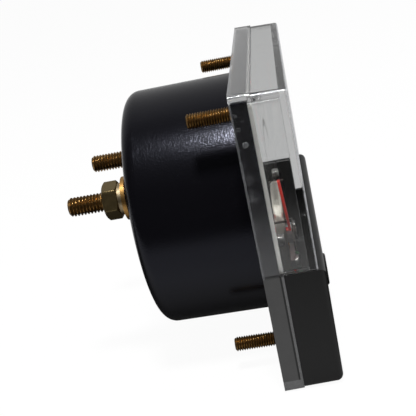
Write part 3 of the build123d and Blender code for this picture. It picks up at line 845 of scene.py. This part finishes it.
@dataclass
class ScrewThread:
    """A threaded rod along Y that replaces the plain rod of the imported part."""

    radius: float
    pitch: float
    start: float
    tip: float
    tip_chamfer: float
    columns: int = 36
    rows_per_pitch: int = 10
    depth_share: float = 0.61
    slope: float = 1.25
    crest: float = 0.12

    def profile(self) -> tuple[np.ndarray, np.ndarray, np.ndarray]:
        """Works out the rod from the start of its thread to its tip.

        Along a helix the phase p is depth over pitch less the share of a full turn. The groove
        is deepest at p = 1/2 and falls as a triangle to a narrow crest at p = 0. It fades in
        over one pitch, and a cone of 45 degrees cuts the tip.

        Returns:
            Radii, depths and groove values for each ring and angle.
        """
        count = int((self.tip - self.start) / self.pitch * self.rows_per_pitch)
        along = np.linspace(self.start, self.tip, count)[:, None]
        share = np.arange(self.columns)[None, :] / self.columns
        phase = np.mod(along / self.pitch - share, 1.0)
        triangle = 1.0 - np.abs(2.0 * phase - 1.0)
        fade = np.clip((along - self.start) / self.pitch, 0.0, 1.0)
        groove = np.clip(self.slope * triangle - self.crest, 0.0, 1.0) * fade
        cone = self.radius - self.tip_chamfer + (self.tip - along)
        radii = np.minimum(self.radius - self.depth_share * self.pitch * groove, cone)
        return radii, along + 0.0 * share, groove


@dataclass
class PanelStuds:
    """The four studs that stand out of the flange."""

    spacing: float = 48.0
    radius: float = 1.5
    pitch: float = 0.5
    head_front: float = -3.1
    head_back: float = -1.9
    head_radius: float = 2.7
    head_chamfer: float = 0.25
    root_radius: float = 1.9
    root_back: float = -0.05
    relief_radius: float = 1.3
    relief_end: float = 0.3
    tip: float = 9.0
    tip_chamfer: float = 0.35
    turn_step: float = 1.1

    def build(self, body: str, material: bpy.types.Material) -> bpy.types.Object:
        """Makes all four as one piece.

        Each is a flat head, a thick root, a relief and a threaded shank, with the radius given
        for each ring and angle about its own axis. Each is turned by turn_step radians from
        the one before, so that no two threads end alike.

        Args:
            body: The body that it rides on.
            material: Its finish.

        Returns:
            The new object.
        """
        thread = ScrewThread(self.radius, self.pitch, self.relief_end, self.tip, self.tip_chamfer)
        radii, depths, groove = thread.profile()
        front, back, seat = self.head_front, self.head_back, self.root_back
        widths = [0.0, self.head_radius - self.head_chamfer, self.head_radius, self.head_radius]
        widths += [self.root_radius, self.root_radius, self.relief_radius, self.relief_radius]
        places = [front, front, front + self.head_chamfer, back, back, seat, seat, self.relief_end]
        none = np.zeros((1, thread.columns))
        plain = np.array([widths, places])[:, :, None] + none
        radii = np.vstack([plain[0], radii, none])
        depths = np.vstack([plain[1], depths, none + self.tip])
        groove = np.vstack([np.zeros_like(plain[0]), groove, none])
        half = self.spacing / 2.0
        centres = [(-half, half), (half, half), (-half, -half), (half, -half)]
        points, faces = [], []
        for index, (x, z) in enumerate(centres):
            turn = full_turn(thread.columns) + index * self.turn_step
            ring = np.stack([x + radii * np.cos(turn), depths, z + radii * np.sin(turn)], -1)
            points.append(ring.reshape(-1, 3))
            faces.append(ring_faces(*radii.shape, start=index * radii.size))
        grooves = np.tile(groove.ravel(), len(points))
        made = make_object(
            "panel_studs_threaded", np.vstack(points), np.vstack(faces), {"groove": grooves}
        )
        weld(made)
        dress(made, material)
        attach(made, body)
        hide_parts("panel_studs")
        return made


class Side(Enum):
    """The two terminals as seen from the front, each with its sign along X."""

    LEFT = -1
    RIGHT = 1

    @property
    def word(self) -> str:
        """The side as node names say it."""
        return self.name.lower()


@dataclass
class TerminalPiece:
    """What the pieces of one screw terminal share: its axis and the place of its nut."""

    side: Side
    spacing: float = 28.0
    height: float = 8.0
    washer_back: float = 26.0
    spring_washer: float = 1.0
    nut_thickness: float = 3.2
    flats: float = 7.0

    @property
    def centre(self) -> tuple[float, float]:
        """The axis' X and Z."""
        return self.side.value * self.spacing / 2.0, self.height

    @property
    def nut_front(self) -> float:
        """Where the nut starts: the left one has a spring washer under it."""
        return self.washer_back + (self.spring_washer if self.side is Side.LEFT else 0.0)


@dataclass
class TerminalPost(TerminalPiece):
    """One screw terminal: hexagonal head in the can and a long threaded shank."""

    radius: float = 2.0
    pitch: float = 0.7
    head_front: float = 19.7
    head_back: float = 21.7
    head_chamfer: float = 0.15
    head_turn: float = 30.0
    neck_radius: float = 1.8
    thread_gap: float = 0.2
    tip: float = 37.9
    tip_chamfer: float = 0.45
    columns: int = 48

    @property
    def thread_start(self) -> float:
        """Where the free thread starts, just behind the nut."""
        return self.nut_front + self.nut_thickness + self.thread_gap

    def build(self, body: str, material: bpy.types.Material) -> bpy.types.Object:
        """Makes the terminal as one closed surface turned about its axis.

        Args:
            body: The body that it rides on.
            material: Its finish.

        Returns:
            The new object.
        """
        start, tip = self.thread_start, self.tip
        thread = ScrewThread(self.radius, self.pitch, start, tip, self.tip_chamfer, self.columns)
        radii, depths, groove = thread.profile()
        flats = hexagon_radius(full_turn(self.columns), self.flats, self.head_turn)
        none = np.zeros(self.columns)
        shank, neck = none + self.radius, none + self.neck_radius
        head = np.stack([none, flats - self.head_chamfer, flats, flats, shank, shank, neck, neck])
        front, back, nut = self.head_front, self.head_back, self.nut_front
        places = [front, front, front + self.head_chamfer, back, back, nut, nut, start]
        head_depths = np.array(places)[:, None] + none
        radii = np.vstack([head, radii, none])
        depths = np.vstack([head_depths, depths, none + tip])
        groove = np.vstack([np.zeros_like(head), groove, none])
        name = f"terminal_stud_{self.side.word}_threaded"
        values = {"groove": groove.ravel()}
        made = turned_surface(name, radii, depths, self.centre, values=values)
        weld(made)
        dress(made, material)
        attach(made, body)
        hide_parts(f"terminal_stud_{self.side.word}")
        return made


@dataclass
class TerminalNut(TerminalPiece):
    """A hexagonal nut with its corners turned down at both ends."""

    bore: float = 1.85
    bore_chamfer: float = 0.3
    turn: float = 12.0
    corner_cut: float = 0.12
    cone: float = 30.0
    rounding: float = 0.07
    rounding_angle: float = 20.0
    columns: int = 96

    def build(self, body: str, material: bpy.types.Material) -> bpy.types.Object:
        """Makes the nut as one closed loop of rings, the rear half a mirror of the front one.

        The side rings follow the hexagon. A cone about the axis cuts its corners, so the side
        ends lower where the hexagon is wider.

        Args:
            body: The body that it rides on.
            material: Its finish.

        Returns:
            The new object.
        """
        flats = hexagon_radius(full_turn(self.columns), self.flats, self.turn)
        circle = self.flats / 2.0 - self.corner_cut
        drop = (flats - circle) * math.tan(math.radians(self.cone))
        none = np.zeros(self.columns)
        inner = none + self.bore
        front = np.stack([inner, inner + self.bore_chamfer, none + circle, flats])
        inset = np.stack([none + self.bore_chamfer, none, none, drop])
        back = self.nut_front + self.nut_thickness
        made = turned_surface(
            f"terminal_nut_{self.side.word}_cut",
            np.vstack([front, front[::-1]]),
            np.vstack([self.nut_front + inset, back - inset[::-1]]),
            self.centre,
            closed=True,
        )
        soften(made, self.rounding, self.rounding_angle)
        dress(made, material)
        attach(made, body)
        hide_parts(f"terminal_nut_{self.side.word}")
        return made


@dataclass
class DialPrint:
    """Plain numbers round the printed scale."""

    pivot: float = -11.5
    radius: float = 31.2
    numbers: str = "012345"
    text_height: float = 4.6
    size_to_height: float = 1.35
    curve_steps: int = 4
    sweep: float = 90.0
    face: float = -3.9
    ink: float = 0.05

    def build(self, body: str, material: bpy.types.Material) -> list[bpy.types.Object]:
        """Sets each number upright over its long stroke.

        Args:
            body: The body that the numbers ride on.
            material: The ink.

        Returns:
            The new objects.
        """
        made = []
        for index, text in enumerate(self.numbers):
            share = index / (len(self.numbers) - 1) - 0.5
            angle = math.radians(share * self.sweep)
            x = self.radius * math.sin(angle)
            z = self.pivot + self.radius * math.cos(angle)
            piece = self._number(f"dial_number_{text}", text, x, z)
            dress(piece, material)
            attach(piece, body)
            made.append(piece)
        return made

    def _number(self, name: str, text: str, x: float, z: float) -> bpy.types.Object:
        """Makes one number as a thin mesh on the dial.

        Args:
            name: The object's name.
            text: What it reads.
            x: The middle of the number across the dial.
            z: The middle of the number's height.

        Returns:
            The new object.
        """
        curve = bpy.data.curves.new(name, "FONT")
        curve.body = text
        curve.size = self.text_height * self.size_to_height
        curve.align_x = "CENTER"
        curve.align_y = "CENTER"
        curve.extrude = self.ink / 2.0
        curve.resolution_u = self.curve_steps
        writer = bpy.data.objects.new(name, curve)
        mesh = bpy.data.meshes.new_from_object(writer)
        bpy.data.objects.remove(writer)
        flat = np.empty(len(mesh.vertices) * 3)
        mesh.vertices.foreach_get("co", flat)
        flat = flat.reshape(-1, 3)
        middle = (flat.min(0) + flat.max(0)) / 2.0
        y = self.face - self.ink / 2.0
        placed = np.stack(
            [x + flat[:, 0] - middle[0], y - flat[:, 2], z + flat[:, 1] - middle[1]], -1
        )
        mesh.vertices.foreach_set("co", (placed * MILLIMETRE).ravel())
        mesh.update()
        piece = bpy.data.objects.new(name, mesh)
        bpy.context.scene.collection.objects.link(piece)
        return piece


@dataclass
class Finishes:
    """Every material of the meter, made once."""

    made: dict[str, bpy.types.Material] = field(default_factory=dict)

    def build(self, nodes: dict[str, bpy.types.Object]) -> None:
        """Makes the materials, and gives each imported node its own.

        A finish with many nodes stands in two rows, and is made once.

        Args:
            nodes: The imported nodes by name.
        """
        case = Moulding(
            "case_plastic",
            (0.0026, 0.0025, 0.0034),
            roughness=0.15,
            grain=0.26,
            grain_depth=0.028,
            specular=0.22,
            grain_front=-0.05,
            sheen=(0.77, 0.80, 1.0),
        )
        mask = Moulding(
            "mask_plastic",
            (0.003, 0.003, 0.0032),
            roughness=0.36,
            grain=0.10,
            grain_depth=0.008,
            specular=0.3,
        )
        stud = Metal("stud_metal", MetalTone.STUD, 0.28, tarnish=0.5, groove=True)
        nut = Metal("nut_metal", MetalTone.NUT, 0.36, tarnish=0.5)
        brass = Metal("washer_metal", MetalTone.BRASS, 0.33, tarnish=0.4)
        pale = Metal("spring_washer_metal", MetalTone.PALE_BRASS, 0.35, tarnish=0.35)
        steel = Metal("plated_metal", MetalTone.STEEL, 0.22, tarnish=0.15)
        nickel = Metal("frame_metal", MetalTone.NICKEL, 0.33, tarnish=0.1)
        iron = Metal("yoke_metal", MetalTone.IRON, 0.4, tarnish=0.5)
        bronze = Metal("spring_metal", MetalTone.BRONZE, 0.25, tarnish=0.2)
        aluminium = Metal("aluminium_metal", MetalTone.ALUMINIUM, 0.35, tarnish=0.1)
        # The stops, zero lever and front jewel screw are a very dark metal.
        dark = Metal("very_dark_metal", MetalTone.DARK, 0.3, tarnish=0.4)
        blued = Metal("screw_metal", MetalTone.IRON, 0.16, tarnish=0.3)
        dial = Paint("dial_enamel", (0.82, 0.81, 0.77), 0.03, coat=1.0, peel=0.0002)
        ink_front = DialPrint.face - DialPrint.ink
        ink = Paint("dial_ink", (0.015, 0.015, 0.016), 0.03, 1.0, 0.0002, print_front=ink_front)
        # The pointer's faint glow is painted light that brightens its shaded lower half.
        red_paint = Paint("pointer_paint", (1.0, 0.055, 0.04), 0.45, painted_glow=0.08)
        casting = Paint("bridge_casting", (0.55, 0.56, 0.55), 0.45, peel=0.01)
        looks = (
            (ClearPlastic(), "clear_cover"),
            (case, "base_case"),
            (mask, "lower_mask zero_adjuster"),
            (stud, "panel_studs terminal_stud_left terminal_stud_right"),
            (nut, "terminal_nut_left terminal_nut_right"),
            (brass, "flat_washers solder_lug_left solder_lug_right"),
            (brass, "core_clamps balance_cross balance_weights rear_jewel_screw"),
            (pale, "spring_washer"),
            (steel, "front_staff rear_staff"),
            (nickel, "front_frame"),
            (iron, "yoke_ring core_magnet"),
            (bronze, "front_hairspring rear_hairspring"),
            (aluminium, "coil_former front_bridge"),
            (dark, "pointer_stops zero_lever front_jewel_screw"),
            (blued, "dial_screws movement_screws"),
            (dial, "dial_plate"),
            (ink, "dial_scale"),
            (red_paint, "pointer"),
            (casting, "rear_frame"),
            (Paint("green_sleeve", (0.05, 0.28, 0.09), 0.4), "green_lead"),
            (Paint("red_sleeve", (0.45, 0.02, 0.015), 0.4), "red_lead"),
            (Paint("resistor_lacquer", (0.42, 0.33, 0.19), 0.35), "series_resistor"),
            (Winding(), "coil_winding"),
        )
        for recipe, names in looks:
            if recipe.name not in self.made:
                self.made[recipe.name] = recipe.build()
            for name in names.split():
                dress(nodes[name], self.made[recipe.name])
                LOG.info("dressed %s with %s", name, recipe.name)


@dataclass
class Studio:
    """Pale floor, soft lamps and a white surround.

    The floor shines differently to a mirror at different places along X, which the far, right,
    shadow and beyond limits give, and under the meter it is dark to a mirror as a painted shadow.
    Strengths are shares of white.
    """

    floor_height: float = -30.05
    floor_half: float = 3000.0
    floor_colour: Colour = (0.86, 0.86, 0.86)
    far_limits: Sequence[float] = (150.0, 80.0)
    right_limits: Sequence[float] = (30.0, 50.0)
    shadow_limits: Sequence[float] = (12.0, 45.0)
    beyond_limits: Sequence[float] = (-60.0, -20.0)
    camera_share: float = 0.955
    glass_share: float = 0.85
    side_limits: Sequence[float] = (-0.1, 0.55)
    top_limits: Sequence[float] = (0.45, 0.95)
    ambient: float = 0.33
    behind_glass: float = 0.42
    mirror_dark: float = 0.03
    mirror_side: float = 0.4
    mirror_top: float = 0.1
    mirror_floor: float = 0.75
    key_place: Sequence[float] = (-137.0, -20.0, 465.0)
    key_size: float = 70.0
    key_energy: float = 2.7
    fill_place: Sequence[float] = (120.0, -420.0, 260.0)
    fill_size: float = 300.0
    fill_energy: float = 0.35

    def build(self) -> None:
        """Makes the floor, the lamps and the world."""
        self._floor()
        self._world()
        self._lamp("key", self.key_place, self.key_size, self.key_energy)
        self._lamp("fill", self.fill_place, self.fill_size, self.fill_energy)

    def _floor(self) -> None:
        """Makes a flat pale floor, which keeps the meter's shadow.

        The camera sees it almost white, and mirrors and the clear plastic see it in part.
        """
        s, z = self.floor_half, self.floor_height
        points = np.array([[-s, -s, z], [s, -s, z], [s, s, z], [-s, s, z]])
        floor = make_object("floor", points, np.array([[0, 1, 2, 3]]))
        graph = Graph("pale_floor")
        values = {"Color": (*self.floor_colour, 1.0)}
        surface = graph.node("ShaderNodeBsdfDiffuse", values=values)
        across = graph.axis("X")
        reach = abs(across).ramp(*self.far_limits).greatest(across.ramp(*self.right_limits))
        # Under the meter the floor is dark to a mirror: a painted shadow.
        near = reach * abs(across).ramp(*self.shadow_limits)
        mirrored = near * (self.mirror_floor - self.mirror_dark) + self.mirror_dark
        beyond = across.ramp(*self.beyond_limits)
        seen = mirrored * (1 - beyond) + beyond * self.behind_glass
        dark = graph.node("ShaderNodeEmission", values={"Strength": 0.0})
        white = graph.node("ShaderNodeEmission", values={"Strength": 1.0})
        for share, strength in (
            (graph.ray("Camera") * self.camera_share, 1.0),
            (graph.glass_ray() * self.glass_share, seen),
            (graph.mirror_ray(), mirrored),
        ):
            surface = graph.cover(share, surface, graph.cover(strength, dark, white))
        dress(floor, graph.finish(surface))

    def _world(self) -> None:
        """Makes a surround that lights evenly and is white behind the meter.

        A mirror sees it bright overhead and behind the meter, and dark towards the viewer's
        side, as in a room whose lamps hang over a white sheet.
        """
        world = bpy.data.worlds.new("surround")
        bpy.context.scene.world = world
        graph = Graph("surround", world)
        away = graph.node("ShaderNodeTexCoord", output="Generated")
        parts = {
            letter: graph.node("ShaderNodeSeparateXYZ", values={0: away}, output=letter)
            for letter in "XZ"
        }
        side, top = parts["X"].ramp(*self.side_limits), parts["Z"].ramp(*self.top_limits)
        mirror = (side * self.mirror_side).greatest(top * self.mirror_top) + self.mirror_dark
        behind = side.greatest(top) * (self.behind_glass - self.mirror_dark) + self.mirror_dark
        strength = graph.lit() * self.ambient + graph.mirror_ray() * mirror
        strength = strength + graph.glass_ray() * behind + graph.ray("Camera")
        values = {"Color": (1.0, 1.0, 1.0, 1.0), "Strength": strength.clamped()}
        background = graph.node("ShaderNodeBackground", values=values)
        graph.finish(background, "ShaderNodeOutputWorld")

    def _lamp(self, name: str, place: Sequence[float], size: float, energy: float) -> None:
        """Makes a square soft lamp that faces the meter.

        Args:
            name: The lamp's name.
            place: Where it is, in millimetres.
            size: The length of its side, in millimetres.
            energy: Its power in watts.
        """
        light = bpy.data.lights.new(name, "AREA")
        light.size = size * MILLIMETRE
        light.energy = energy
        lamp = bpy.data.objects.new(name, light)
        spot = np.array(place) * MILLIMETRE
        away = spot / np.linalg.norm(spot)
        side = np.cross((0.0, 0.0, 1.0), away)
        side = side / np.linalg.norm(side)
        up = np.cross(away, side)
        turn = Matrix([*zip(side, up, away)]).to_4x4()
        lamp.matrix_world = Matrix.Translation(spot) @ turn
        bpy.context.scene.collection.objects.link(lamp)


@dataclass
class PhotoCamera:
    """The camera fitted to the photograph.

    Its focal length, principal point and frame are in pixels, and its clip range in metres.
    """

    place: Sequence[float] = (-175.578, -10.794, 63.867)
    turn: Sequence[float] = (68.621, 11.2, -88.025)
    focal: float = 846.917
    principal: Sequence[float] = (221.864, 211.025)
    frame: float = 416.0
    sensor: float = 36.0
    clip: Sequence[float] = (0.005, 20.0)

    def build(self) -> None:
        """Makes the camera and sets it as the scene's."""
        data = bpy.data.cameras.new("photo_camera")
        data.sensor_width = self.sensor
        data.lens = self.focal / self.frame * self.sensor
        data.shift_x = -(self.principal[0] - self.frame / 2.0) / self.frame
        data.shift_y = (self.principal[1] - self.frame / 2.0) / self.frame
        data.clip_start, data.clip_end = self.clip
        camera = bpy.data.objects.new("photo_camera", data)
        camera.location = [c * MILLIMETRE for c in self.place]
        camera.rotation_euler = [math.radians(a) for a in self.turn]
        bpy.context.scene.collection.objects.link(camera)
        bpy.context.scene.camera = camera


def corners(box: Iterable[Iterable[float]]) -> list[list[float]]:
    """A box as plain lists of numbers."""
    return [[float(c) for c in corner] for corner in box]


def main() -> None:
    """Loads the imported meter, dresses it, and sets the stage."""
    logging.basicConfig(level=logging.INFO, format="%(message)s")
    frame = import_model()
    groups = frame["record"]["behaviour"]["bodies"]
    bodies = {name: group for group, names in groups.items() for name in names}
    finishes = Finishes()
    finishes.build(frame["nodes"])
    housing = bodies["base_case"]
    pieces = [
        PanelStuds().build(housing, finishes.made["stud_metal"]),
        *(TerminalPost(side).build(housing, finishes.made["stud_metal"]) for side in Side),
        *(TerminalNut(side).build(housing, finishes.made["nut_metal"]) for side in Side),
        *DialPrint().build(housing, finishes.made["dial_ink"]),
    ]
    for piece in pieces:
        LOG.info("made %s: %d points", piece.name, len(piece.data.vertices))
    Studio().build()
    PhotoCamera().build()
    scene = bpy.context.scene
    scene.view_settings.view_transform = "Standard"
    for limit in ("max_bounces", "glossy_bounces", "transmission_bounces"):
        setattr(scene.cycles, limit, LIGHT_BOUNCES)


if __name__ == "__main__":
    main()
